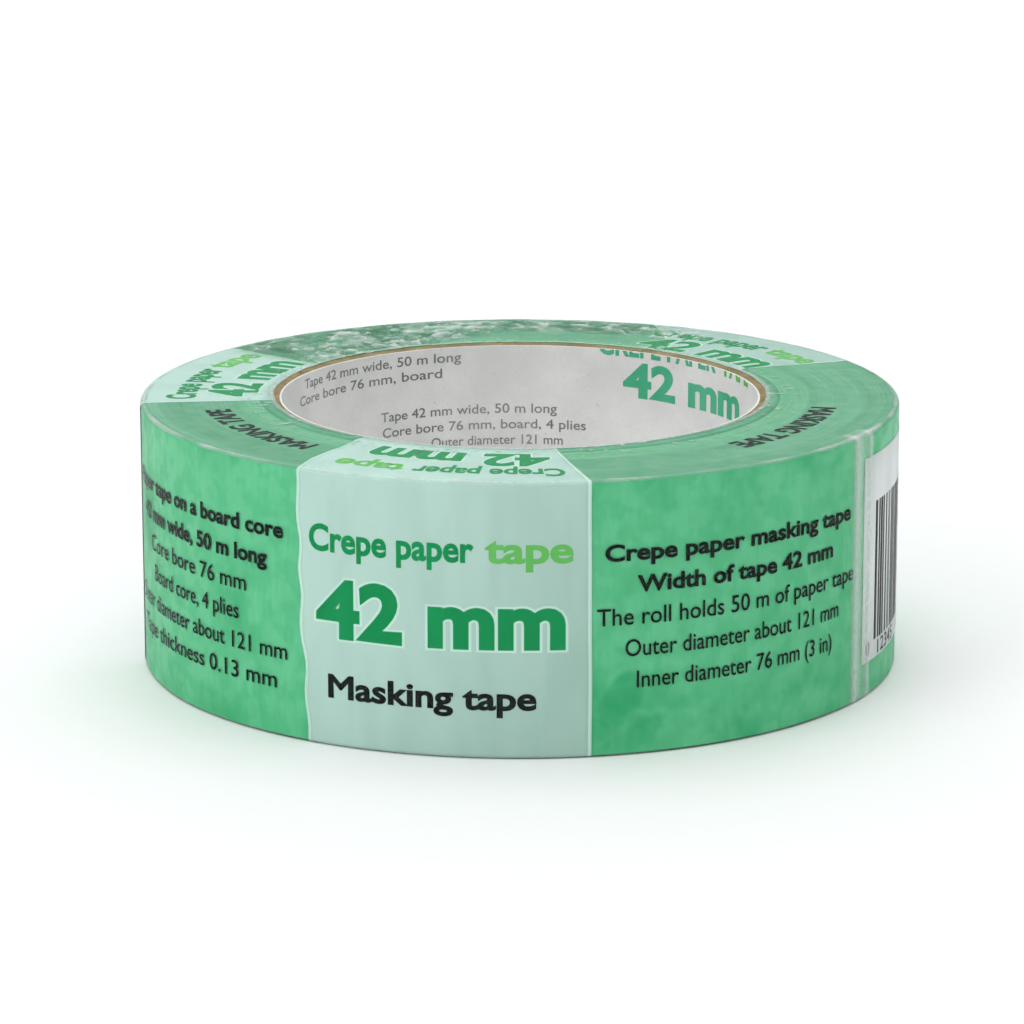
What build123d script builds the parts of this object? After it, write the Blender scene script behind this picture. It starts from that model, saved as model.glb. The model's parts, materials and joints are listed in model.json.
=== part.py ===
from build123d import *
import math
import os

# A new roll of crepe masking tape, still sealed in its shrink film.
# The roll lies on one flat face. +Z runs along the axis of the core, and the
# origin is the centre of the lower face, on the surface that the roll rests on.
# Lengths are in millimetres, and angles in degrees counted from +X.

# Driving dimensions
BORE_DIAMETER = 76.2  # a three inch core
ROLL_DIAMETER = 121.4  # over the film
ROLL_HEIGHT = 42.6  # over the film on both faces
FILM_THICKNESS = 0.1
FILM_LIP = 2.1  # from the bore to the film's free edge, on each face
RIM_RADIUS = 0.8  # where the film bends over the edge of the roll
LAP_WIDTH = 4.6  # the sealed lap down the film sleeve
LAP_ANGLE = -28.8
LINER_THICKNESS = 0.3  # the white printed ply that faces the bore
KRAFT_THICKNESS = 0.555
KRAFT_PLIES = 4
STRIP_WIDTH = 127.0  # of each paper strip that the core is wound from
SEAM_GAP = 0.2  # left between the two edges of a spiral strip
SEAM_ANGLE = -146.0  # where the liner's seam starts, below the lower face
SEAM_STEP = 97.0  # turn from one ply's seam to the next
SEAM_OVERRUN = 2.0  # how far the seam's cut runs past each end of a ply
TAPE_THICKNESS = 0.13  # crepe paper with its adhesive
LAST_TURN_ANGLE = 75.0  # where the last turn of tape begins
LAST_TURN_ARC = 346.0  # how far it runs before the cut tail
GLUE_LINE = 0.02  # between neighbouring layers

# Worked out from the driving dimensions
bore_radius = BORE_DIAMETER / 2
film_outer_radius = ROLL_DIAMETER / 2
film_inner_radius = film_outer_radius - FILM_THICKNESS
film_edge_radius = bore_radius + FILM_LIP
wound_bottom = FILM_THICKNESS + GLUE_LINE
wound_width = ROLL_HEIGHT - 2 * wound_bottom
wound_radius = film_inner_radius - GLUE_LINE
wound_rim_radius = RIM_RADIUS - wound_bottom
first_kraft_radius = bore_radius + LINER_THICKNESS + GLUE_LINE
kraft_pitch = KRAFT_THICKNESS + GLUE_LINE
tape_inner_radius = first_kraft_radius + KRAFT_PLIES * kraft_pitch
last_turn_radius = wound_radius - 2 * TAPE_THICKNESS
wound_plane = Plane.XY.offset(wound_bottom)
last_turn_plane = wound_plane.rotated((0, 0, LAST_TURN_ANGLE))

os.makedirs("parts", exist_ok=True)


def write_step(piece, name):
    """Labels a finished piece and writes it as its own STEP file."""
    piece.part.label = name
    export_step(piece.part, f"parts/{name}.step")


def spiral_ply(inner_radius, thickness, seam_angle):
    """One ply of the core: a paper strip wound on a slant, so its edges meet in a steep seam."""
    middle_radius = inner_radius + thickness / 2
    slant = math.asin(STRIP_WIDTH / (2 * math.pi * middle_radius))
    seam_pitch = STRIP_WIDTH / math.cos(slant)
    with BuildPart() as ply:
        with BuildSketch(wound_plane):
            Circle(inner_radius + thickness)
            Circle(inner_radius, mode=Mode.SUBTRACT)
        extrude(amount=wound_width)
        with BuildLine(wound_plane.offset(-SEAM_OVERRUN)) as seam:
            Helix(seam_pitch, wound_width + 2 * SEAM_OVERRUN, middle_radius)
        seam_path = seam.line.rotate(Axis.Z, seam_angle)
        seam_start = seam_path @ 0
        outward = Vector(seam_start.X, seam_start.Y, 0)
        with BuildSketch(Plane(seam_start, x_dir=outward, z_dir=seam_path % 0)):
            Rectangle(1.5 * thickness, SEAM_GAP)
        sweep(path=seam_path, is_frenet=True, mode=Mode.SUBTRACT)
    return ply


# The core: a white liner, then the kraft plies, each seam turned on from the last.
core_liner = spiral_ply(bore_radius, LINER_THICKNESS, SEAM_ANGLE)
write_step(core_liner, "core_liner")

for number in range(1, KRAFT_PLIES + 1):
    ply_radius = first_kraft_radius + (number - 1) * kraft_pitch
    core_ply = spiral_ply(ply_radius, KRAFT_THICKNESS, SEAM_ANGLE + number * SEAM_STEP)
    write_step(core_ply, f"core_ply_{number}")


# The tape is one strip, and its winding is drawn as half circles about two centres half
# a thickness apart, so each turn climbs by one thickness. It is two solids, which meet
# face to face where the last turn begins.
centre_shift = TAPE_THICKNESS / 2


def turn_of_tape(radius, arc=360.0):
    """One face of the strip for a turn, or for the given arc, starting from this radius."""
    CenterArc((0, 0), radius, 0, 180)
    CenterArc((centre_shift, 0), radius + centre_shift, 180, arc - 180)


def across_the_strip(radius, arc=0.0):
    """The strip's cut end, from this face of a turn to the next, at the given arc."""
    centre = (0, 0)
    if arc > 180:
        centre = (centre_shift, 0)
        radius = radius + centre_shift
    start = Vector(*centre) + Vector(radius, 0).rotate(Axis.Z, arc)
    PolarLine(start, TAPE_THICKNESS, arc)


# The room inside the film, whose tight rims round over the outer turns at both faces.
with BuildPart() as film_room:
    with BuildSketch(wound_plane):
        Circle(wound_radius)
    extrude(amount=wound_width)
    fillet(film_room.edges().filter_by(GeomType.CIRCLE), wound_rim_radius)

with BuildPart() as tape_pack:
    with BuildSketch(last_turn_plane):
        with BuildLine():
            turn_of_tape(last_turn_radius)
            across_the_strip(last_turn_radius)
        make_face()
        Circle(tape_inner_radius, mode=Mode.SUBTRACT)
    extrude(amount=wound_width)
    add(film_room.part, mode=Mode.INTERSECT)
write_step(tape_pack, "tape_pack")

with BuildPart() as tape_outer_turn:
    with BuildSketch(last_turn_plane):
        with BuildLine():
            turn_of_tape(last_turn_radius, LAST_TURN_ARC)
            turn_of_tape(last_turn_radius + TAPE_THICKNESS, LAST_TURN_ARC)
            across_the_strip(last_turn_radius)
            across_the_strip(last_turn_radius, LAST_TURN_ARC)
        make_face()
    extrude(amount=wound_width)
    add(film_room.part, mode=Mode.INTERSECT)
write_step(tape_outer_turn, "tape_outer_turn")

# The film sleeve: tight round the side, folded over both faces and open at the bore.
# Its sealed lap stands proud by one more thickness, between the two rims.
lap_arc = math.degrees(LAP_WIDTH / film_outer_radius)
with BuildPart() as shrink_film:
    with BuildSketch(Plane.XZ) as film_section:
        with Locations(((film_edge_radius + film_outer_radius) / 2, ROLL_HEIGHT / 2)):
            Rectangle(film_outer_radius - film_edge_radius, ROLL_HEIGHT)
        fillet(film_section.vertices().group_by(Axis.X)[-1], RIM_RADIUS)
    revolve(axis=Axis.Z)
    with BuildSketch(Plane.XZ) as film_hollow:
        with Locations((bore_radius, ROLL_HEIGHT / 2)):
            Rectangle(2 * (film_inner_radius - bore_radius), ROLL_HEIGHT - 2 * FILM_THICKNESS)
        fillet(film_hollow.vertices().group_by(Axis.X)[-1], RIM_RADIUS - FILM_THICKNESS)
    revolve(axis=Axis.Z, mode=Mode.SUBTRACT)
    with BuildSketch(Plane.XZ.rotated((0, 0, LAP_ANGLE - lap_arc / 2))):
        with Locations((film_outer_radius, ROLL_HEIGHT / 2)):
            Rectangle(2 * FILM_THICKNESS, ROLL_HEIGHT - 2 * RIM_RADIUS)
    revolve(axis=Axis.Z, revolution_arc=lap_arc)
write_step(shrink_film, "shrink_film")
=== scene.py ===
import json
import math
import random
from collections import namedtuple

import bmesh
import bpy
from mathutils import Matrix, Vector, noise

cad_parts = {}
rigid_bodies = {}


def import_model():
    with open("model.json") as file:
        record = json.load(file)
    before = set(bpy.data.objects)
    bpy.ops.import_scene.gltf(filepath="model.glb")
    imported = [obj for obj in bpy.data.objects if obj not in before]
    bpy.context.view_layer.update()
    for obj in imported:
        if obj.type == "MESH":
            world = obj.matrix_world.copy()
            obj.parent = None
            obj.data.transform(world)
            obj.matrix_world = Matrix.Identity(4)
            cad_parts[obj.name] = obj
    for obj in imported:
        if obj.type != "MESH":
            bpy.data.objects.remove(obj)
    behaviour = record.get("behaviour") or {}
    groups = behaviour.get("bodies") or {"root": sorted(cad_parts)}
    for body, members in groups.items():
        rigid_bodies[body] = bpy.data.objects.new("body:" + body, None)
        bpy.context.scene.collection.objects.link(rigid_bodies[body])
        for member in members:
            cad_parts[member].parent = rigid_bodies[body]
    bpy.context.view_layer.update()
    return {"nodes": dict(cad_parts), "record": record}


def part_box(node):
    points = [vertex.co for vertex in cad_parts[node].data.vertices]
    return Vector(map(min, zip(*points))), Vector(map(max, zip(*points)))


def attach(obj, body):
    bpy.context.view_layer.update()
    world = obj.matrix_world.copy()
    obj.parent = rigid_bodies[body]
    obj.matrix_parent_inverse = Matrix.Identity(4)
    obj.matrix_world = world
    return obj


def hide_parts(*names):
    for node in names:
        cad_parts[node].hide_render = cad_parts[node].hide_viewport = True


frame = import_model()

# The looks of a wide roll of masking tape that is still sealed in its printed shrink film.
# Lengths are in metres. A bearing is an angle round the roll, in degrees, from the front
# (-Y) towards +X. A lift is a distance off the tape, straight out of the roll.

MM = 0.001

# ---------------------------------------------------------------- sizes from the frame

film_vertices = [v.co for v in frame["nodes"]["shrink_film"].data.vertices]

ROLL_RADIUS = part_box("shrink_film")[1].x
ROLL_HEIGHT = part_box("shrink_film")[1].z
BORE_RADIUS = frame["record"]["mounts"][0]["dims"]["r_mm"] * MM
FILM_EDGE = min(co.xy.length for co in film_vertices)
TAPE_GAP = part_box("tape_pack")[0].z  # from the outside of the film to the tape
TAPE_RADIUS = ROLL_RADIUS - TAPE_GAP

LAP_PROUD = 0.05 * MM  # only the lap stands this far off the film's side
lap_corners = [co for co in film_vertices if co.xy.length > ROLL_RADIUS + LAP_PROUD]
lap_bearings = [math.degrees(math.atan2(co.x, -co.y)) for co in lap_corners]
LAP_START = min(lap_bearings)
LAP_END = max(lap_bearings)

# The film's section: up the side, round the rim and in over the face
FILM_BEND = 0.8 * MM
TAPE_BEND = FILM_BEND - TAPE_GAP
FLAT_SIDE = ROLL_HEIGHT / 2 - FILM_BEND  # from mid-height to where the bend starts
BEND_RUN = TAPE_BEND * math.pi / 2
FACE_RUN = FLAT_SIDE + BEND_RUN  # the run at which the face starts
FACE_RADIUS = TAPE_RADIUS - TAPE_BEND

# Layers between the tape and the outside of the film
INK_WALL = 0.010 * MM
BORDER_LIFT = 0.007 * MM  # each lift is to the middle of the ink
PANEL_LIFT = 0.019 * MM
HALO_LIFT = 0.034 * MM
PRINT_LIFT = 0.048 * MM
FILM_WALL = 0.045 * MM
LINER_PRINT_LIFT = 0.035 * MM  # off the bore, clear of the flats that stand for its curve


def around(bearing, radius, height):
    """The point at this bearing, distance from the axis and height."""
    angle = math.radians(bearing)
    return Vector((radius * math.sin(angle), -radius * math.cos(angle), height))


def skin(bearing, run, lift):
    """A point off the tape. run goes up the side from mid-height, round the rim and in over
    the upper face, and a negative run goes down and in over the lower face."""
    turn = min(max(abs(run) - FLAT_SIDE, 0) / TAPE_BEND, math.pi / 2)
    inward = max(abs(run) - FACE_RUN, 0)
    radius = FACE_RADIUS + (TAPE_BEND + lift) * math.cos(turn) - inward
    rise = min(abs(run), FLAT_SIDE) + (TAPE_BEND + lift) * math.sin(turn)
    return around(bearing, radius, ROLL_HEIGHT / 2 + math.copysign(rise, run))


def run_at(radius):
    """The run that reaches this radius on the upper face."""
    return FACE_RUN + FACE_RADIUS - radius


def smooth_step(value, low, high):
    """0 below low, 1 above high, and a smooth rise between them."""
    share = min(max((value - low) / (high - low), 0), 1)
    return share * share * (3 - 2 * share)


def smooth_noise(x, y, seed):
    """Smooth noise, from about -1 to 1, with features about 1 across."""
    return noise.noise(Vector((x, y, seed)))


def steps(start, end, longest):
    """Evenly spaced values from start to end, no further apart than longest."""
    count = max(math.ceil((end - start) / longest), 1)
    return [start + (end - start) * k / count for k in range(count + 1)]


# ---------------------------------------------------------------- materials


def srgb(red, green, blue):
    """A colour given as 0 to 255 on a screen, as the linear colour that shaders use."""
    linear = []
    for value in (red, green, blue):
        share = value / 255
        linear.append(share / 12.92 if share <= 0.04045 else ((share + 0.055) / 1.055) ** 2.4)
    return (*linear, 1.0)


class Paint:
    """A material under construction. Most methods add a node and give back its output."""

    def __init__(self, name, **surface):
        self.material = bpy.data.materials.new(name)
        self.material.use_nodes = True
        self.tree = self.material.node_tree
        self.surface = self.tree.nodes["Principled BSDF"]
        for words, value in surface.items():
            self.surface.inputs[words.replace("_", " ")].default_value = value
        self.place = self.add("TexCoord").outputs["Object"]

    def add(self, kind, inputs=None, **settings):
        made = self.tree.nodes.new("ShaderNode" + kind)
        for name, value in settings.items():
            setattr(made, name, value)
        for name, value in (inputs or {}).items():
            self.feed(made.inputs[name], value)
        return made

    def feed(self, socket, value):
        if isinstance(value, bpy.types.NodeSocket):
            self.tree.links.new(value, socket)
        else:
            socket.default_value = value

    def maths(self, operation, first, second=0.0, third=0.0):
        inputs = {0: first, 1: second, 2: third}
        return self.add("Math", inputs, operation=operation).outputs[0]

    def split(self, vector):
        return self.add("SeparateXYZ", {0: vector}).outputs

    def join(self, x, y, z):
        return self.add("CombineXYZ", {0: x, 1: y, 2: z}).outputs[0]

    def mottle(self, size, stretch=(1, 1, 1), detail=2.0, warp=0.0, at=None):
        """Cloudy noise from 0 to 1 with features of this size, drawn out along each axis."""
        scale = [1 / (size * factor) for factor in stretch]
        mapped = self.add("Mapping", {"Vector": at or self.place, "Scale": scale})
        inputs = {"Vector": mapped.outputs[0], "Scale": 1.0, "Detail": detail, "Distortion": warp}
        return self.add("TexNoise", inputs).outputs["Fac"]

    def levels(self, value, low, high, start=0.0, end=1.0):
        """value from low to high, spread smoothly from start to end."""
        inputs = {"Value": value, "From Min": low, "From Max": high, "To Min": start, "To Max": end}
        return self.add("MapRange", inputs, interpolation_type="SMOOTHSTEP").outputs[0]

    def mix(self, share, first, second):
        """Between two colours."""
        mixed = self.add("Mix", {"Factor": share}, data_type="RGBA")
        self.feed(mixed.inputs[6], first)
        self.feed(mixed.inputs[7], second)
        return mixed.outputs[2]

    def bump(self, height, depth, under=None):
        """A surface normal from a height from 0 to 1, which stands for depth in metres."""
        made = self.add("Bump", {"Height": height, "Distance": depth})
        if under is not None:
            self.feed(made.inputs["Normal"], under)
        return made.outputs[0]

    def finish(self, **inputs):
        for words, value in inputs.items():
            self.feed(self.surface.inputs[words.replace("_", " ")], value)
        return self.material


TIGHT_SPOTS = ((15, 8 * MM), (-76, 27 * MM))  # each a bearing and a height


def tape_paper():
    """Green crepe paper: cross ripples on the side, the edges of the turns on the faces, and
    deeper colour in patches where the film lies tight on it."""
    paint = Paint("green_crepe_paper", Specular_IOR_Level=0.35)
    x, y, _ = paint.split(paint.place)
    flat = paint.join(x, y, 0.0)
    radius = paint.add("VectorMath", {0: flat}, operation="LENGTH").outputs["Value"]
    up = paint.split(paint.add("NewGeometry").outputs["True Normal"])[2]
    on_face = paint.levels(paint.maths("ABSOLUTE", up), 0.5, 0.8)

    tight = paint.levels(paint.mottle(19 * MM, (1, 1, 0.8), 3.0, 0.6), 0.42, 0.7, 0.0, 0.6)
    ragged = paint.maths("MULTIPLY", paint.mottle(5 * MM, detail=4.0, warp=0.8), 14 * MM)
    for bearing, height in TIGHT_SPOTS:
        inputs = {0: paint.place, 1: around(bearing, TAPE_RADIUS, height)}
        distance = paint.add("VectorMath", inputs, operation="DISTANCE").outputs["Value"]
        spot = paint.levels(paint.maths("ADD", distance, ragged), 8 * MM, 16 * MM, 1.0, 0.0)
        tight = paint.maths("MAXIMUM", tight, spot)
    haze_and_painted_light_cover = paint.levels(paint.mottle(3.2 * MM, detail=3.0), 0.3, 0.7)
    ripples = paint.mottle(0.55 * MM, (1, 1, 7), 3.0, 0.4)
    side = paint.mix(paint.levels(haze_and_painted_light_cover, 0.2, 0.8), srgb(96, 202, 146), srgb(84, 194, 136))
    side = paint.mix(tight, side, srgb(30, 168, 106))
    side = paint.mix(paint.levels(ripples, 0.35, 0.65, 0.09, 0.0), side, srgb(30, 120, 74))

    drift = 0.02  # how much the rings change on the way round
    turns_at = paint.join(radius, paint.maths("MULTIPLY", x, drift), paint.maths("MULTIPLY", y, drift))
    turns = paint.mottle(0.42 * MM, detail=5.0, at=turns_at)
    bands = paint.mottle(3.5 * MM, detail=2.0, at=turns_at)
    face = paint.mix(paint.levels(bands, 0.3, 0.7), srgb(102, 177, 139), srgb(82, 160, 121))
    face = paint.mix(paint.levels(radius, 41 * MM, 49 * MM, 0.4, 0.0), face, srgb(118, 206, 150))
    face = paint.mix(paint.levels(turns, 0.35, 0.65, 0.28, 0.0), face, srgb(50, 124, 88))
    face = paint.mix(paint.levels(tight, 0, 1, 0, 0.4), face, srgb(78, 166, 118))

    height = paint.add("Mix", {"Factor": on_face, 2: ripples, 3: turns}, data_type="FLOAT")
    return paint.finish(
        Base_Color=paint.mix(on_face, side, face),
        Roughness=paint.levels(haze_and_painted_light_cover, 0, 1, 0.5, 0.68),
        Normal=paint.bump(height.outputs[0], 0.04 * MM),
    )


def kraft_board():
    """Brown board: long fibres, flecks, and a rough cut end."""
    paint = Paint("brown_kraft_board", Specular_IOR_Level=0.25)
    fibres = paint.mottle(0.16 * MM, (5, 5, 1), 4.0, 0.5)
    flecks = paint.levels(paint.mottle(0.35 * MM, (2, 2, 1), 2.0), 0.62, 0.72)
    clouds = paint.mottle(4 * MM, detail=2.0)
    colour = paint.mix(paint.levels(clouds, 0.3, 0.7), srgb(160, 142, 100), srgb(132, 118, 80))
    colour = paint.mix(paint.levels(fibres, 0.3, 0.7, 0.35, 0), colour, srgb(104, 84, 54))
    colour = paint.mix(paint.maths("MULTIPLY", flecks, 0.5), colour, srgb(200, 180, 142))
    return paint.finish(
        Base_Color=colour,
        Roughness=paint.levels(fibres, 0, 1, 0.75, 0.92),
        Normal=paint.bump(fibres, 0.12 * MM),
    )


def liner_paper():
    """White calendered paper, a little grey and uneven."""
    paint = Paint("white_liner_paper", Specular_IOR_Level=0.4)
    clouds = paint.mottle(9 * MM, detail=3.0)
    grain = paint.mottle(0.25 * MM, (1, 1, 1.6), 3.0)
    specks = paint.levels(paint.mottle(0.5 * MM, detail=1.0), 0.72, 0.78)
    colour = paint.mix(paint.levels(clouds, 0.3, 0.7), srgb(236, 235, 233), srgb(222, 222, 221))
    colour = paint.mix(paint.levels(grain, 0.3, 0.7, 0.12, 0), colour, srgb(176, 176, 174))
    colour = paint.mix(paint.maths("MULTIPLY", specks, 0.35), colour, srgb(150, 148, 140))
    return paint.finish(
        Base_Color=colour,
        Roughness=paint.levels(grain, 0, 1, 0.5, 0.66),
        Normal=paint.bump(grain, 0.02 * MM),
    )


def ink(name, colour, thin_colour, shine=0.42, painted_gradient=0.0):
    """Ink printed inside the film, which gives it its gloss, with soft upright streaks where
    it lies thinner. It may also carry painted shade, by this share: full colour at the upper
    left of the roll, darker towards the lower right, as the light falls."""
    paint = Paint(name, Specular_IOR_Level=0.05)
    streaks = paint.mottle(6 * MM, (1, 1, 5), 3.0, 0.3)
    grain = paint.mottle(0.3 * MM, detail=2.0)
    x, _, z = paint.split(paint.place)
    # painted shade: the ink is drawn darker towards the lower right of the roll, as if lit from the
    # upper left
    slope = paint.maths("MULTIPLY_ADD", z, -0.7, x)
    painted_gradient_mask = paint.levels(slope, -50 * MM, 10 * MM, 0.0, painted_gradient)
    streaked = paint.levels(streaks, 0.36, 0.68, 0.0, 1.0 - painted_gradient)
    spread = paint.mix(paint.maths("ADD", painted_gradient_mask, streaked), colour, thin_colour)
    spread = paint.mix(paint.levels(grain, 0.3, 0.7, 0.1, 0), spread, thin_colour)
    return paint.finish(
        Base_Color=spread,
        Roughness=paint.levels(grain, 0, 1, shine - 0.05, shine + 0.08),
        Normal=paint.bump(grain, 0.004 * MM),
    )


def clear_film():
    """Glossy clear film: what it mirrors grows as it is seen more edge-on. Over it the mesh lays
    an overlay and says how thick and how white it is: painted highlights on creases, facets,
    rim and free edge, painted shade on the dull facets, and the paler lap with its flecks."""
    paint = Paint("clear_shrink_film", Roughness=0.3, Specular_IOR_Level=0.2)
    ripples = paint.mottle(3.2 * MM, (1, 1, 3), 2.0, 0.5)
    wrinkles = paint.mottle(0.8 * MM, detail=2.0, warp=1.0)
    waves = paint.bump(ripples, 0.05 * MM, paint.bump(wrinkles, 0.008 * MM))
    edge_on = paint.add("LayerWeight", {"Blend": 0.5}).outputs["Facing"]
    mirrored = paint.maths("MULTIPLY_ADD", paint.maths("POWER", edge_on, 5.0), 0.10, 0.007)
    clear = paint.add("BsdfTransparent")
    mirror = paint.add("BsdfGlossy", {"Roughness": 0.12, "Normal": waves})
    smooth = paint.add("MixShader", {0: mirrored, 1: clear.outputs[0], 2: mirror.outputs[0]})
    haze_and_painted_light = paint.add("Attribute", attribute_name="haze_and_painted_light").outputs["Fac"]
    haze_and_painted_light_cover = paint.maths("MULTIPLY", haze_and_painted_light, paint.levels(wrinkles, 0.25, 0.6, 0.6, 1.0))
    whiteness = paint.add("Attribute", attribute_name="whiteness").outputs["Fac"]
    # the overlay's colours: white for the painted highlights, deep green for the painted shade
    bright = paint.mix(paint.levels(wrinkles, 0.3, 0.7), srgb(240, 247, 243), srgb(214, 230, 222))
    painted_shade = paint.mix(paint.levels(ripples, 0.3, 0.7), srgb(104, 178, 138), srgb(48, 124, 86))
    paint.finish(Base_Color=paint.mix(whiteness, painted_shade, bright), Normal=waves)
    film = paint.add("MixShader", {0: haze_and_painted_light_cover, 1: smooth.outputs[0], 2: paint.surface.outputs[0]})
    paint.feed(paint.tree.nodes["Material Output"].inputs["Surface"], film.outputs[0])
    return paint.material


# the pale ink carries painted light: brighter at the upper left of the roll, shaded at the lower right
MINT = ink("pale_ink", srgb(190, 222, 211), srgb(164, 197, 185), painted_gradient=0.7)
BORDER = ink("green_border_ink", srgb(100, 174, 138), srgb(84, 160, 122))
WHITE = ink("white_ink", srgb(232, 236, 236), srgb(214, 224, 220))
HALO = ink("halo_ink", srgb(204, 236, 223), srgb(192, 228, 214))
DARK_GREEN = ink("dark_green_ink", srgb(2, 142, 78), srgb(10, 150, 86))
LIGHT_GREEN = ink("light_green_ink", srgb(94, 186, 84), srgb(108, 194, 100))
BLACK = ink("black_ink", srgb(8, 14, 11), srgb(18, 28, 23))
GREY = ink("grey_ink", srgb(118, 118, 118), srgb(150, 150, 150), 0.6)
LINER_GREEN = ink("liner_green_ink", srgb(70, 172, 130), srgb(92, 184, 146), 0.6)

CAD_MATERIALS = {"tape": tape_paper(), "core_ply": kraft_board(), "core_liner": liner_paper()}

for name, node in frame["nodes"].items():
    for start_of_name, material in CAD_MATERIALS.items():
        if name.startswith(start_of_name):
            node.material_slots[0].material = material


# ---------------------------------------------------------------- making a piece


def piece(name, mesh, material):
    """Puts a finished mesh in the scene as a piece of the roll."""
    made = bpy.data.objects.new(name, mesh)
    bpy.context.scene.collection.objects.link(made)
    mesh.materials.append(material)
    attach(made, "root")
    return made


def shell_faces(wide, tall, start, joined):
    """The faces of a wall of two skins, each tall rows of wide corners, outer skin first."""

    def corner(skin_number, row, column):
        return start + (skin_number * tall + row) * wide + column % wide

    columns = range(wide if joined else wide - 1)
    faces = []
    for row in range(tall - 1):
        for column in columns:
            square = ((row, column), (row, column + 1), (row + 1, column + 1), (row + 1, column))
            faces.append([corner(0, r, c) for r, c in square])
            faces.append([corner(1, r, c) for r, c in reversed(square)])
    for column in columns:
        for row, ends in ((0, (column + 1, column)), (tall - 1, (column, column + 1))):
            near, far = ends
            rim = (corner(0, row, near), corner(0, row, far), corner(1, row, far), corner(1, row, near))
            faces.append(rim)
    if not joined:
        for row in range(tall - 1):
            for column, ends in ((0, (row, row + 1)), (wide - 1, (row + 1, row))):
                near, far = ends
                rim = (
                    corner(0, near, column),
                    corner(0, far, column),
                    corner(1, far, column),
                    corner(1, near, column),
                )
                faces.append(rim)
    return faces


def shell_mesh(name, patches, joined=False):
    """One mesh of thin closed walls. A patch is (columns, rows, point), and point(column, row,
    skin_number) places a corner of the outer skin, 0, or the inner one, 1."""
    corners = []
    faces = []
    for columns, rows, point in patches:
        faces += shell_faces(len(columns), len(rows), len(corners), joined)
        corners += [point(c, r, number) for number in (0, 1) for r in rows for c in columns]
    mesh = bpy.data.meshes.new(name)
    mesh.from_pydata(corners, [], faces)
    mesh.shade_smooth()
    return mesh


# ---------------------------------------------------------------- shrink film

SIDE_ROWS = 10
BEND_ROWS = 6
FACE_ROWS = 35
COARSE_COLUMN = 1.0  # degrees
CRUMPLED_COLUMN = 0.5
LAP_COLUMN = 0.3
LAP_MARGIN = 3.0  # degrees on each side of the lap that have its narrow columns too

CRUMPLED_START = 141.0  # the film is gathered between these bearings, at the back
CRUMPLED_END = 238.0
CRUMPLED_FADE = 9.0
NARROW_REACH = 7.0  # mm that the gathering reaches in from the rim before WIDENING starts
WIDE_REACH = 16.0  # and after it ends
WIDENING = (180.0, 205.0)  # bearings
REACH_FADE = 5.0
SLACK = 0.07  # how gathered the film still is further in
CREASE_HEIGHT = 0.45 * MM
BROAD_CREASES = {"slant": (0.8, 0.6), "size": 3.0, "seed": 1.7}
SMALL_CREASES = {"slant": (0.5, -0.87), "size": 1.9, "seed": 9.2}
FACET_SHADE = 0.46  # how much painted shade lies on the darkest facets of the gathered film
FACET_SHADE_FROM = (150.0, 165.0)  # the bearings between which the painted shade on the facets sets in
PLEAT_HEIGHT = 0.10 * MM
RIM_HIGHLIGHT = 0.32  # how white the painted highlight along the rim is
LAP_RISE = 0.8 * TAPE_GAP
LAP_FEATHER = 0.3  # degrees over which the lap rises at each edge
LAP_WHITE = 0.13
LAP_START_LINE = (0.34, 0.9)  # a white line at each end: how white, and half its width in degrees
LAP_END_LINE = (0.22, 0.8)
EDGE_HIGHLIGHT = 0.45  # how white the painted highlight along the cut film's free edge is
EDGE_INSET = 0.8 * MM  # the shrunk film reaches further in than the sleeve's nominal edge,
EDGE_SHIFT = 1.3 * MM  # and further still at the front, where it nearly reaches the bore
EDGE_WANDER = 0.3 * MM
EDGE_FROM_BORE = 0.15 * MM  # it stops at least this far short of the bore
FACE_MIDDLE = 50  # mm, the radius at which distances round the face are measured


def film_edge(bearing):
    """The radius of the film's free edge, which isn't cut quite true."""
    angle = math.radians(bearing)
    x, y = 2.2 * math.sin(angle), 2.2 * math.cos(angle)
    wander = smooth_noise(x, y, 3.1) + 0.45 * smooth_noise(6 * x, 6 * y, 8.7)
    middle = FILM_EDGE - EDGE_INSET - EDGE_SHIFT * math.cos(angle)
    return max(middle + EDGE_WANDER * wander, BORE_RADIUS + EDGE_FROM_BORE)


def section_rows(side, bend, face):
    """Rows over the whole section, from the lower free edge to the upper one, each a run and
    a share of the way from the rim to the free edge."""
    upper = [(FLAT_SIDE * k / side, 0) for k in range(side)]
    upper += [(FLAT_SIDE + BEND_RUN * k / bend, 0) for k in range(bend)]
    upper += [(FACE_RUN, k / face) for k in range(face + 1)]
    lower = [(-run, -share) for run, share in reversed(upper[1:])]
    return lower + upper


def run_of(row, bearing, margin=0.0):
    """The run of a section row at this bearing, with the edge held back by a margin."""
    run, share = row
    return run + share * (run_at(film_edge(bearing) + margin) - FACE_RUN)


def flat_place(bearing, run):
    """Where this is on the flat film, in mm: the distance round, and in from the rim."""
    return math.radians(bearing % 360) * FACE_MIDDLE, max(abs(run) - FACE_RUN, 0) / MM


def creases(arc, inward, bent, slant, size, seed):
    """Crushed film, as flat facets of this size in mm with sharp creases between them: how
    near a crease this is, and a value of its own for each facet, both from 0 to 1. slant is
    the cosine and the sine of the angle at which the facets lie."""
    cosine, sine = slant
    along = cosine * arc + sine * inward
    across = cosine * inward - sine * arc + bent
    distances, centres = noise.voronoi(Vector((along / (1.4 * size), across / size, seed)))
    facet = 0.5 + 0.5 * noise.cell(17 * centres[0])
    return max(1 - 3.4 * (distances[1] - distances[0]), 0), facet


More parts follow.
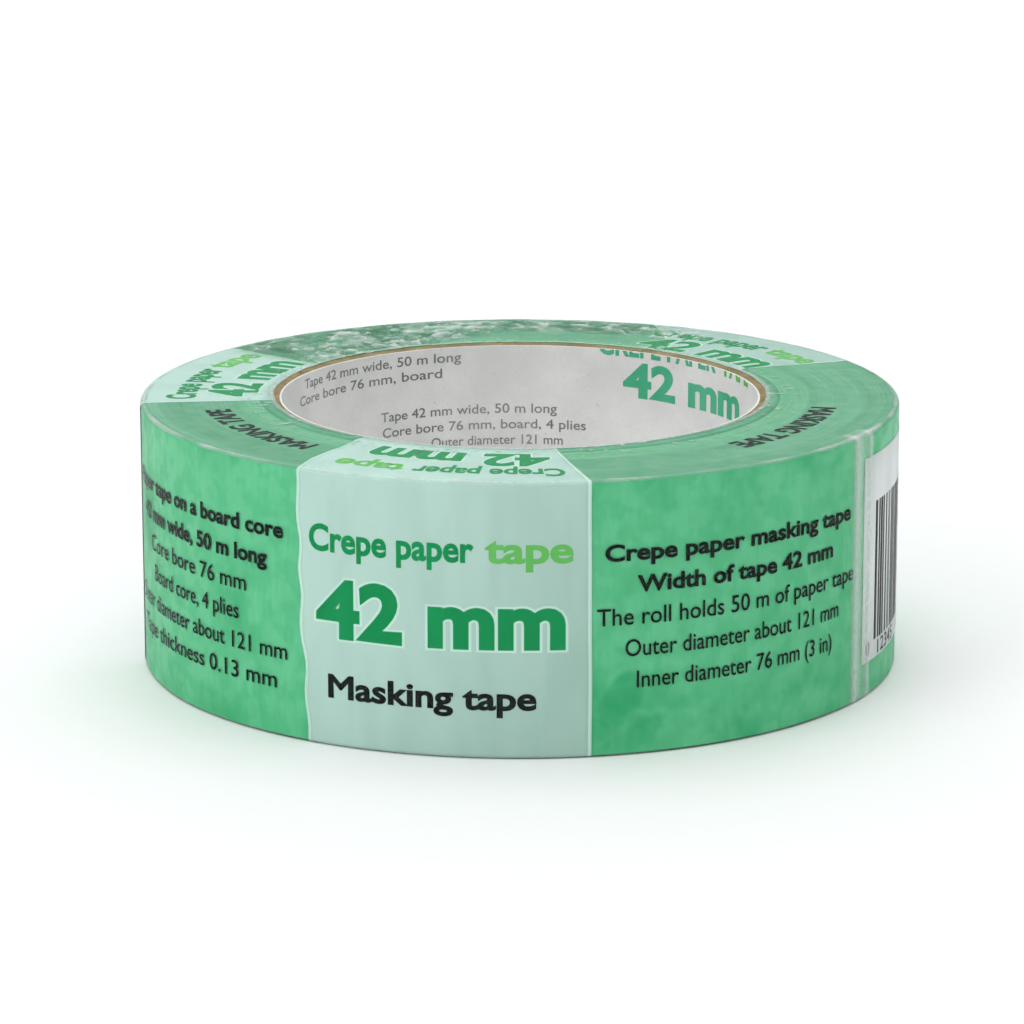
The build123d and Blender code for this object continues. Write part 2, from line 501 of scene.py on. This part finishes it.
def gathering(bearing, inward):
    """How strongly the film is gathered, from 0 to 1."""
    turned = bearing % 360
    gathered = smooth_step(turned, CRUMPLED_START, CRUMPLED_START + CRUMPLED_FADE)
    gathered *= 1 - smooth_step(turned, CRUMPLED_END - CRUMPLED_FADE, CRUMPLED_END)
    reach = NARROW_REACH + (WIDE_REACH - NARROW_REACH) * smooth_step(turned, *WIDENING)
    past_reach = smooth_step(inward, reach, reach + REACH_FADE)
    return gathered * smooth_step(inward, 0.0, 1.5) * (1 - (1 - SLACK) * past_reach)


def crumple(bearing, run):
    """How far gathered film stands off, in metres, and how strong its painted highlights and
    its painted shade are, from 0 to 1."""
    arc, inward = flat_place(bearing, run)
    bent = 1.2 * smooth_noise(0.2 * arc, 0.2 * inward, 2.6)
    broad_crest, broad_facet = creases(arc, inward, bent, **BROAD_CREASES)
    small_crest, small_facet = creases(arc, inward, bent, **SMALL_CREASES)
    crest = max(broad_crest, 0.55 * small_crest)
    facet = smooth_step(0.6 * broad_facet + 0.4 * small_facet, 0.5, 0.85)
    glint = smooth_step(smooth_noise(0.45 * arc, 0.6 * inward, 12.6), -0.15, 0.35)
    strength = gathering(bearing, inward)
    height = CREASE_HEIGHT * strength * crest ** 1.2 * smooth_step(inward, 1, 5)
    # painted highlights: glints along the creases and glare on some facets; painted shade on the others
    white = strength * (0.8 * glint * crest ** 2 + 0.2 * facet)
    painted_shade = FACET_SHADE * strength * (1 - 0.8 * facet) * smooth_step(bearing % 360, *FACET_SHADE_FROM)
    return height, white, painted_shade


def pleats(bearing, run):
    """How far the pleats near the free edge lift the film, and how white their flecks are."""
    arc, inward = flat_place(bearing, run)
    pleat = max(smooth_noise(0.9 * arc, 0.12 * inward, 4.4), 0)
    fleck = max(smooth_noise(1.1 * arc, 0.7 * inward, 6.1) - 0.3, 0)
    height = PLEAT_HEIGHT * pleat * smooth_step(inward, 14, 20)
    return height, 1.4 * fleck * smooth_step(inward, 13, 19)


def painted_rim_highlight(bearing, run):
    """How white the painted highlight is where the film bends over the rim."""
    arc, inward = flat_place(bearing, run)
    rim_glint = max(0.5 + 1.4 * smooth_noise(0.22 * arc, 0.0, 7.7), 0.1)
    on_rim = smooth_step(abs(run), FLAT_SIDE + 0.2 * BEND_RUN, FLAT_SIDE + 0.8 * BEND_RUN)
    return RIM_HIGHLIGHT * rim_glint * on_rim * (1 - smooth_step(inward, 0.0, 0.4))


def white_line(bearing, middle, line):
    """How white a soft line down the film is at this bearing."""
    whiteness, half_width = line
    return whiteness * math.exp(-(((bearing - middle) / half_width) ** 2))


def lap(bearing, run):
    """How far the lap lifts the film here, and how white the lap and its two edges look."""
    _, inward = flat_place(bearing, run)
    on_side = 1 - smooth_step(abs(run), FLAT_SIDE - 0.6 * MM, FLAT_SIDE)
    inside = smooth_step(bearing, LAP_START - LAP_FEATHER, LAP_START + LAP_FEATHER)
    inside *= 1 - smooth_step(bearing, LAP_END - LAP_FEATHER, LAP_END + LAP_FEATHER)
    white = LAP_WHITE * smooth_step(bearing, LAP_START - 2.5, LAP_START)
    white *= 1 - smooth_step(bearing, LAP_END, LAP_END + 1)
    white += white_line(bearing, LAP_START, LAP_START_LINE)
    white += white_line(bearing, LAP_END, LAP_END_LINE)
    return LAP_RISE * inside * on_side, white * (1 - smooth_step(inward, 0.3, 2.5))


def film_columns():
    """Bearings all the way round, closer together where the film is crumpled or lapped."""
    before_lap = 360 + LAP_START - LAP_MARGIN
    after_lap = 360 + LAP_END + LAP_MARGIN
    bearings = steps(CRUMPLED_START, CRUMPLED_END, CRUMPLED_COLUMN)
    bearings += steps(CRUMPLED_END, before_lap, COARSE_COLUMN)[1:]
    bearings += steps(before_lap, after_lap, LAP_COLUMN)[1:]
    bearings += steps(after_lap, 360 + CRUMPLED_START, COARSE_COLUMN)[1:-1]
    return bearings


def film_look(bearing, row):
    """The run and stand-off of one corner of the film's mesh, how white it is, mostly from painted
    highlights, and how much painted shade it has.
    """
    run = run_of(row, bearing)
    crease_height, crease_white, painted_shade = crumple(bearing, run)
    pleat_height, pleat_white = pleats(bearing, run)
    lap_height, lap_white = lap((bearing + 180) % 360 - 180, run)
    _, share = row
    from_edge = (1 - abs(share)) * (run_at(film_edge(bearing)) - FACE_RUN)
    # painted highlights on the creases, the rim and the free edge, with the pleats' flecks and the pale
    # lap
    white = crease_white + pleat_white + painted_rim_highlight(bearing, run) + lap_white
    white += EDGE_HIGHLIGHT * (1 - smooth_step(from_edge, 0.2 * MM, 0.9 * MM))
    height = crease_height + pleat_height
    if run < -FLAT_SIDE:
        height = 0.0  # the roll's weight presses the lower face flat
    return run, height + lap_height, min(white, 1), painted_shade


def film_corner(bearing, row, skin_number):
    run, height, _, _ = film_look(bearing, row)
    return skin(bearing, run, TAPE_GAP + height - skin_number * FILM_WALL)


def make_film():
    columns = film_columns()
    rows = section_rows(SIDE_ROWS, BEND_ROWS, FACE_ROWS)
    mesh = shell_mesh("shrink_film_skin", [(columns, rows, film_corner)], joined=True)
    haze_and_painted_light = []
    whiteness = []
    for row in rows:
        for bearing in columns:
            _, _, white, painted_shade = film_look(bearing, row)
            # the overlay of painted highlights and painted shade, with the lap and the flecks: how
            # thick, and how much of it is white
            haze_and_painted_light.append(1 - (1 - white) * (1 - painted_shade))
            whiteness.append(white / max(haze_and_painted_light[-1], 0.01))
    mesh.attributes.new("haze_and_painted_light", "FLOAT", "POINT").data.foreach_set("value", haze_and_painted_light + haze_and_painted_light)
    mesh.attributes.new("whiteness", "FLOAT", "POINT").data.foreach_set("value", whiteness + whiteness)
    film = piece("shrink_film_skin", mesh, clear_film())
    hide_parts("shrink_film")


make_film()


# ---------------------------------------------------------------- printed panels

Panel = namedtuple("Panel", "name start end lean start_skew end_skew")

PANELS = (
    Panel("front", -32.8, 10.2, -0.8, -4.0, -1.8),
    Panel("back_right", 115.0, 157.5, 0.4, 2.0, -14.0),
    Panel("back_left", 234.0, 276.3, -0.5, 2.0, 0.0),
)
PANEL_COLUMNS = 40
PANEL_ROWS = (14, 4, 8)  # on half the side, on the bend and on the face
START_WOBBLE = 0.6  # degrees
END_WOBBLE = 0.18
EDGE_MARGIN = 0.12 * MM  # the print stops this far inside the film's free edge
PANEL_LINE = 0.013  # width of the pale line down each edge, as a share of the panel's width
BORDER_RUN = run_at(41.6 * MM)  # where the green border starts
BORDER_COLUMN = 2.0  # degrees


def panel_bearing(panel, share, run):
    """The bearing at a share of the panel's width. Shrinking pulled its edges out of true:
    its start leans on the side, and both ends are skewed on the faces."""
    inward = max(abs(run) - FACE_RUN, 0) / (run_at(FILM_EDGE) - FACE_RUN)
    upward = max(min(run / FACE_RUN, 1), -1)
    start = panel.start + panel.lean * upward + panel.start_skew * inward
    start += START_WOBBLE * smooth_noise(run / (5 * MM), panel.start, 0.5)
    end = panel.end + panel.end_skew * inward
    end += END_WOBBLE * smooth_noise(run / (14 * MM), panel.end, 2.5)
    return start + share * (end - start)


def panel_patch(panel, first, last, columns, middle_lift):
    """A patch of the panel, from a first to a last share of its width, on both faces too."""

    def corner(share, row, skin_number):
        run = run_of(row, panel.start + share * (panel.end - panel.start), EDGE_MARGIN)
        lift = middle_lift + (0.5 - skin_number) * INK_WALL
        return skin(panel_bearing(panel, share, run), run, lift)

    shares = [first + (last - first) * k / columns for k in range(columns + 1)]
    return shares, section_rows(*PANEL_ROWS), corner


def make_panel(panel):
    ground = shell_mesh("panel_" + panel.name, [panel_patch(panel, 0, 1, PANEL_COLUMNS, PANEL_LIFT)])
    piece("panel_" + panel.name, ground, MINT)
    ends = [panel_patch(panel, start, start + PANEL_LINE, 1, HALO_LIFT) for start in (0, 1 - PANEL_LINE)]
    lines = shell_mesh("panel_lines_" + panel.name, ends)
    piece("panel_lines_" + panel.name, lines, HALO)


def make_border(name, side):
    """A green band printed along the film's free edge. It hides most of the core's end."""

    def corner(bearing, share, skin_number):
        far = run_at(film_edge(bearing) + EDGE_MARGIN)
        run = BORDER_RUN + share * (far - BORDER_RUN)
        return skin(bearing, side * run, BORDER_LIFT + (0.5 - skin_number) * INK_WALL)

    bearings = steps(0.0, 360.0, BORDER_COLUMN)[:-1]
    patch = (bearings, (0, 0.5, 1) if side > 0 else (1, 0.5, 0), corner)
    piece(name, shell_mesh(name, [patch], joined=True), BORDER)


for panel in PANELS:
    make_panel(panel)
make_border("upper_border", 1)
make_border("lower_border", -1)


# ---------------------------------------------------------------- lettering

# A line of letters: middle is a bearing, base a height or, on the faces, a radius, and shift
# a distance along the line.
Line = namedtuple("Line", "words middle base width capitals weight shift", defaults=(0.0,))

REGULAR = 0.006  # how far the letters' outlines are moved out, as a share of their size
BOLD = 0.031
HEAVY = 0.041
HALO_SPREAD = 0.030  # how much further out the outline of a halo is
LETTER_SLICE = 1.0 * MM  # letters are cut into slices this wide, so that they bend smoothly
LETTER_FINENESS = 4  # straight edges in each curve of an outline
CLOSE_CORNERS = 0.008  # outline corners nearer than this are made one, as a share of the size
STRAIGHT = math.radians(3)  # outline bends smaller than this are taken out
SLIVER = 0.002 * MM  # triangles narrower than this are taken out
DARK_WORDS = 0.64  # the share of the small line's width that its dark words take
LIGHT_WORD = 0.32


def on_side(line, x, y, lift):
    """The place of a point of flat letters, x along from their middle and y up from their base."""
    bearing = line.middle + math.degrees((x + line.shift) / ROLL_RADIUS)
    return skin(bearing, line.base + y - ROLL_HEIGHT / 2, lift)


def on_upper_face(line, x, y, lift):
    """The same on the upper face, with the tops of the letters to the rim."""
    bearing = line.middle - math.degrees((x + line.shift) / (line.base + line.capitals / 2))
    return skin(bearing, run_at(line.base + y), lift)


def on_lower_face(line, x, y, lift):
    """The same on the lower face, for a roll that is turned over."""
    bearing = line.middle + math.degrees((x + line.shift) / (line.base + line.capitals / 2))
    return skin(bearing, -run_at(line.base + y), lift)


def in_bore(line, x, y, lift):
    """The same on the liner, as read from inside the bore."""
    bearing = line.middle - math.degrees((x + line.shift) / BORE_RADIUS)
    return around(bearing, BORE_RADIUS - lift, line.base + y)


def outward(corner):
    """The move that takes both outline edges at a corner out by 1."""
    sides = []
    for edge in corner.link_edges:
        if edge.is_boundary:
            loop = edge.link_loops[0]
            along = (loop.link_loop_next.vert.co - loop.vert.co).normalized()
            sides.append(Vector((along.y, -along.x, 0)))
    middle = sum(sides, Vector()).normalized()
    return middle / max(middle.dot(sides[0]), 0.5)


def letters(words, weight):
    """Flat letters of size 1 in a bmesh, thickened by moving their outlines out."""
    curve = bpy.data.curves.new("letters", "FONT")
    curve.body = words
    curve.resolution_u = LETTER_FINENESS
    holder = bpy.data.objects.new("letters", curve)
    mesh = bpy.data.meshes.new_from_object(holder)
    flat = bmesh.new()
    flat.from_mesh(mesh)
    for made, kept_in in ((holder, bpy.data.objects), (curve, bpy.data.curves), (mesh, bpy.data.meshes)):
        kept_in.remove(made)
    bmesh.ops.remove_doubles(flat, verts=flat.verts, dist=CLOSE_CORNERS)
    bmesh.ops.dissolve_limit(flat, angle_limit=STRAIGHT, verts=flat.verts[:], edges=flat.edges[:])
    moves = [weight * outward(corner) for corner in flat.verts]
    for corner, move in zip(flat.verts, moves):
        corner.co += move
    return flat


def extent(flat, axis):
    values = [corner.co[axis] for corner in flat.verts]
    return min(values), max(values)


def drop_slivers(text):
    """Takes triangles with next to no width out of flat letters, and leaves triangles only."""
    bmesh.ops.dissolve_degenerate(text, dist=SLIVER, edges=text.edges[:])
    bmesh.ops.triangulate(text, faces=text.faces[:])


def slice_letters(text, at, across, above=False):
    """Cuts flat letters along a line, and drops what lies above it if asked to."""
    everything = text.verts[:] + text.edges[:] + text.faces[:]
    bmesh.ops.bisect_plane(
        text, geom=everything, dist=SLIVER, plane_co=at, plane_no=across, clear_outer=above
    )


def add_line(built, line, place, lift, spread):
    """Adds one line of letters to a bmesh, scaled to its size and laid on its surface."""
    left, right = extent(letters(line.words, line.weight), 0)
    bottom, top = extent(letters("H", line.weight), 1)
    wide = line.width / (right - left)
    high = line.capitals / (top - bottom)
    text = letters(line.words, line.weight + spread)
    for corner in text.verts:
        corner.co.x = (corner.co.x - (left + right) / 2) * wide
        corner.co.y = (corner.co.y - bottom) * high
    drop_slivers(text)
    for x in steps(-line.width / 2, line.width / 2, LETTER_SLICE)[1:-1]:
        slice_letters(text, (x, 0, 0), (1, 0, 0))
    if place is in_bore:
        slice_letters(text, (0, ROLL_HEIGHT - TAPE_GAP - line.base, 0), (0, 1, 0), above=True)
    drop_slivers(text)
    front = bmesh.ops.extrude_face_region(text, geom=text.faces[:], use_keep_orig=True)["geom"]
    for corner in front:
        if isinstance(corner, bmesh.types.BMVert):
            corner.co.z = INK_WALL
    bmesh.ops.recalc_face_normals(text, faces=text.faces[:])
    for corner in text.verts:
        corner.co = place(line, corner.co.x, corner.co.y, lift + corner.co.z - INK_WALL / 2)
    mesh = bpy.data.meshes.new("line")
    text.to_mesh(mesh)
    text.free()
    built.from_mesh(mesh)
    bpy.data.meshes.remove(mesh)


def lettering(name, lines, place, material, lift=PRINT_LIFT, spread=0.0):
    """One piece of print: all its lines, on one surface and in one ink."""
    built = bmesh.new()
    for line in lines:
        add_line(built, line, place, lift, spread)
    mesh = bpy.data.meshes.new(name)
    built.to_mesh(mesh)
    built.free()
    piece(name, mesh, material)


def title(name, middle, place, bases, widths, capitals):
    """The panel's words: a small line in two greens, and a large word with a pale halo."""
    dark_width = DARK_WORDS * widths[0]
    light_width = LIGHT_WORD * widths[0]
    dark_shift = (dark_width - widths[0]) / 2
    light_shift = (widths[0] - light_width) / 2
    large = Line("42 mm", middle, bases[1], widths[1], capitals[1], HEAVY)
    dark = Line("Crepe paper", middle, bases[0], dark_width, capitals[0], BOLD, dark_shift)
    light = Line("tape", middle, bases[0], light_width, capitals[0], BOLD, light_shift)
    lettering(name + "_halo", (large,), place, HALO, HALO_LIFT, HALO_SPREAD)
    lettering(name + "_dark", (large, dark), place, DARK_GREEN)
    lettering(name + "_light", (light,), place, LIGHT_GREEN)


# The bases, widths and capitals of a title, each for its small line and its large word
SIDE_TITLE = ((30.2 * MM, 16.9 * MM), (41.2 * MM, 38.9 * MM), (4.2 * MM, 9.2 * MM))
FACE_TITLE = ((51.7 * MM, 42.0 * MM), (36.0 * MM, 28.4 * MM), (4.8 * MM, 8.0 * MM))
TITLE_TURN = -0.6  # degrees from the middle of the panel to the middle of the title
KIND_TURN = -1.1  # and from there to the middle of the words under it

for panel in PANELS:
    middle = (panel.start + panel.end) / 2 + TITLE_TURN
    title("side_title_" + panel.name, middle, on_side, *SIDE_TITLE)
    title("upper_title_" + panel.name, middle, on_upper_face, *FACE_TITLE)
    title("lower_title_" + panel.name, middle, on_lower_face, *FACE_TITLE)
    kind = Line("Masking tape", middle + KIND_TURN, 7.6 * MM, 32.6 * MM, 3.75 * MM, BOLD)
    lettering("side_kind_" + panel.name, (kind,), on_side, BLACK)

# Each row's words, width in mm and weight
RIGHT_NOTES = (
    ("Crepe paper masking tape", 47.6, BOLD),
    ("Width of tape 42 mm", 37.6, BOLD),
    ("The roll holds 50 m of paper tape", 50.0, REGULAR),
    ("Outer diameter about 121 mm", 41.2, REGULAR),
    ("Inner diameter 76 mm (3 in)", 37.6, REGULAR),
)
LEFT_NOTES = (
    ("Paper tape on a board core", 46.6, BOLD),
    ("42 mm wide, 50 m long", 40.0, BOLD),
    ("Core bore 76 mm", 31.0, REGULAR),
    ("Board core, 4 plies", 27.5, REGULAR),
    ("Outer diameter about 121 mm", 47.6, REGULAR),
    ("Tape thickness 0.13 mm", 43.4, REGULAR),
)
NOTE_CAPITALS = 2.6 * MM
LINER_CAPITALS = 1.6 * MM


def notes(name, rows, middle, top, pitch):
    """Rows of small print on the side. top is the base of the first one."""
    lines = []
    for number, (words, width, weight) in enumerate(rows):
        lines.append(Line(words, middle, top - number * pitch, width * MM, NOTE_CAPITALS, weight))
    lettering(name, lines, on_side, BLACK)


notes("side_notes_right", RIGHT_NOTES, 34.5, 30.1 * MM, 4.9 * MM)
notes("side_notes_left", LEFT_NOTES, -57.9, 31.1 * MM, 4.7 * MM)
notes("side_notes_back", LEFT_NOTES, 195.5, 31.1 * MM, 4.7 * MM)

face_notes = []
for middle in (-58.5, 60.5):
    face_notes.append(Line("MASKING TAPE", middle, 47.0 * MM, 31 * MM, 4.0 * MM, BOLD))
lettering("upper_notes", face_notes, on_upper_face, BLACK)
lettering("lower_notes", face_notes, on_lower_face, BLACK)

cut_off = 41.5 * MM  # the paper was cut through the line of print with this base
liner_title = (
    Line("42 mm", 131.5, 34.6 * MM, 28.6 * MM, 6.0 * MM, HEAVY),
    Line("CREPE PAPER", 141.0, cut_off, 25.0 * MM, 3.7 * MM, BOLD),
)
liner_tape = (Line("TAPE", 112.0, cut_off, 10.6 * MM, 3.7 * MM, BOLD),)
lettering("liner_title", liner_title, in_bore, LINER_GREEN, LINER_PRINT_LIFT)
lettering("liner_title_light", liner_tape, in_bore, LIGHT_GREEN, LINER_PRINT_LIFT)
liner_rows = (
    Line("Tape 42 mm wide, 50 m long", 194.0, 30.9 * MM, 31.2 * MM, LINER_CAPITALS, REGULAR),
    Line("Core bore 76 mm, board, 4 plies", 190.0, 28.2 * MM, 35.9 * MM, LINER_CAPITALS, REGULAR),
    Line("Outer diameter 121 mm", 186.0, 25.5 * MM, 22.6 * MM, LINER_CAPITALS, REGULAR),
    Line("Tape 42 mm wide, 50 m long", 221.0, 40.0 * MM, 34.6 * MM, LINER_CAPITALS, REGULAR),
    Line("Core bore 76 mm, board", 225.0, 37.4 * MM, 33.2 * MM, LINER_CAPITALS, REGULAR),
)
lettering("liner_notes", liner_rows, in_bore, GREY, LINER_PRINT_LIFT)


# ---------------------------------------------------------------- barcode

CODE_BOX = (61.4, 100.0, 5.6 * MM, 38.6 * MM)  # the bearings of its ends, then its heights
CODE_BARS = (66.0, 95.0, 8.6 * MM, 31.0 * MM)
CODE_MODULES = 95  # narrowest bars across the whole code
BAR_WIDTHS = (1, 1, 2, 3)  # in modules; the bars are drawn at random and encode nothing
DIGIT_HEIGHT = 2.2 * MM


def side_patch(box, lift):
    """A patch of ink on the side, between two bearings and two heights."""
    start, end, low, high = box

    def corner(bearing, height, skin_number):
        return skin(bearing, height - ROLL_HEIGHT / 2, lift + (0.5 - skin_number) * INK_WALL)

    return steps(start, end, 1.0), (low, high), corner


def make_barcode():
    mesh = shell_mesh("code_box", [side_patch(CODE_BOX, PANEL_LIFT)])
    piece("code_box", mesh, WHITE)
    start, end, low, high = CODE_BARS
    module = (end - start) / CODE_MODULES
    draw = random.Random(12)
    bars = []
    at = start
    while at < end:
        bar, space = draw.choice(BAR_WIDTHS), draw.choice(BAR_WIDTHS)
        stop = min(at + bar * module, end)
        bars.append(side_patch((at, stop, low, high), PRINT_LIFT))
        at = stop + space * module
    piece("code_bars", shell_mesh("code_bars", bars), BLACK)
    digits = (
        Line("0", 63.6, 6.6 * MM, 1.5 * MM, DIGIT_HEIGHT, REGULAR),
        Line("12345", 72.5, 6.0 * MM, 10.0 * MM, DIGIT_HEIGHT, REGULAR),
        Line("67890", 88.0, 6.0 * MM, 10.0 * MM, DIGIT_HEIGHT, REGULAR),
    )
    lettering("code_digits", digits, on_side, BLACK)


make_barcode()


# ---------------------------------------------------------------- studio

CAMERA_DISTANCE = 0.7284
CAMERA_ELEVATION = 14.08  # degrees
CAMERA_LENS = 158.9  # mm
CAMERA_SHIFT = (-0.0076, 0.0104)

ROOM_OVERHEAD = 1.15  # how bright the room is there
ROOM_AT_EYE_LEVEL = 0.28
FLOOR_SIZE = 6.0
FLOOR_DROP = 0.02 * MM


def make_floor():
    """A plain pale floor, just under the roll."""
    half = FLOOR_SIZE / 2
    square = ((-half, -half), (half, -half), (half, half), (-half, half))
    corners = [(x, y, -FLOOR_DROP) for x, y in square]
    mesh = bpy.data.meshes.new("floor")
    mesh.from_pydata(corners, [], [(0, 1, 2, 3)])
    floor = bpy.data.objects.new("floor", mesh)
    bpy.context.scene.collection.objects.link(floor)
    paint = Paint("pale_floor", Roughness=0.8, Specular_IOR_Level=0.1)
    grain = paint.mottle(4 * MM, detail=2.0)
    colour = paint.mix(grain, (0.93, 0.93, 0.93, 1), (0.95, 0.95, 0.95, 1))
    mesh.materials.append(paint.finish(Base_Color=colour))


def make_world():
    """A white backdrop for the camera, and for the light a room that is brightest overhead."""
    world = bpy.data.worlds.new("studio")
    bpy.context.scene.world = world
    world.use_nodes = True
    tree = world.node_tree
    room = tree.nodes["Background"]
    direction = tree.nodes.new("ShaderNodeTexCoord")
    upward = tree.nodes.new("ShaderNodeSeparateXYZ")
    glow = tree.nodes.new("ShaderNodeMath")
    glow.operation = "MULTIPLY_ADD"
    glow.inputs[1].default_value = ROOM_OVERHEAD - ROOM_AT_EYE_LEVEL
    glow.inputs[2].default_value = ROOM_AT_EYE_LEVEL
    tree.links.new(direction.outputs["Generated"], upward.inputs[0])
    tree.links.new(upward.outputs[2], glow.inputs[0])
    tree.links.new(glow.outputs[0], room.inputs["Strength"])
    room.inputs["Color"].default_value = (0.98, 1.0, 1.0, 1)
    backdrop = tree.nodes.new("ShaderNodeBackground")
    backdrop.inputs["Color"].default_value = (1, 1, 1, 1)
    path = tree.nodes.new("ShaderNodeLightPath")
    mixed = tree.nodes.new("ShaderNodeMixShader")
    tree.links.new(path.outputs["Is Camera Ray"], mixed.inputs[0])
    tree.links.new(room.outputs[0], mixed.inputs[1])
    tree.links.new(backdrop.outputs[0], mixed.inputs[2])
    tree.links.new(mixed.outputs[0], tree.nodes["World Output"].inputs["Surface"])


def make_softbox(name, place, width, height, power):
    """A rectangular lamp that faces the roll."""
    lamp = bpy.data.lights.new(name, "AREA")
    lamp.shape = "RECTANGLE"
    lamp.size = width
    lamp.size_y = height
    lamp.energy = power
    made = bpy.data.objects.new(name, lamp)
    made.location = place
    towards_roll = Vector((0, 0, ROLL_HEIGHT / 2)) - Vector(place)
    made.rotation_euler = towards_roll.to_track_quat("-Z", "Y").to_euler()
    bpy.context.scene.collection.objects.link(made)


def make_camera():
    data = bpy.data.cameras.new("camera")
    data.lens = CAMERA_LENS
    data.shift_x, data.shift_y = CAMERA_SHIFT
    camera = bpy.data.objects.new("camera", data)
    elevation = math.radians(CAMERA_ELEVATION)
    back = Vector((0, -math.cos(elevation), math.sin(elevation)))
    camera.location = Vector((0, 0, ROLL_HEIGHT / 2)) + CAMERA_DISTANCE * back
    camera.rotation_euler = (math.pi / 2 - elevation, 0, 0)
    bpy.context.scene.collection.objects.link(camera)
    bpy.context.scene.camera = camera


make_floor()
make_world()
make_softbox("overhead", (0.0, 0.1, 1.2), width=1.0, height=1.0, power=2.5)
make_softbox("key", (-0.8, -0.6, 0.6), width=0.6, height=0.6, power=2.4)
make_softbox("back", (0.1, 0.8, 0.6), width=0.8, height=0.4, power=1.2)
make_camera()
bpy.context.scene.view_settings.view_transform = "Standard"
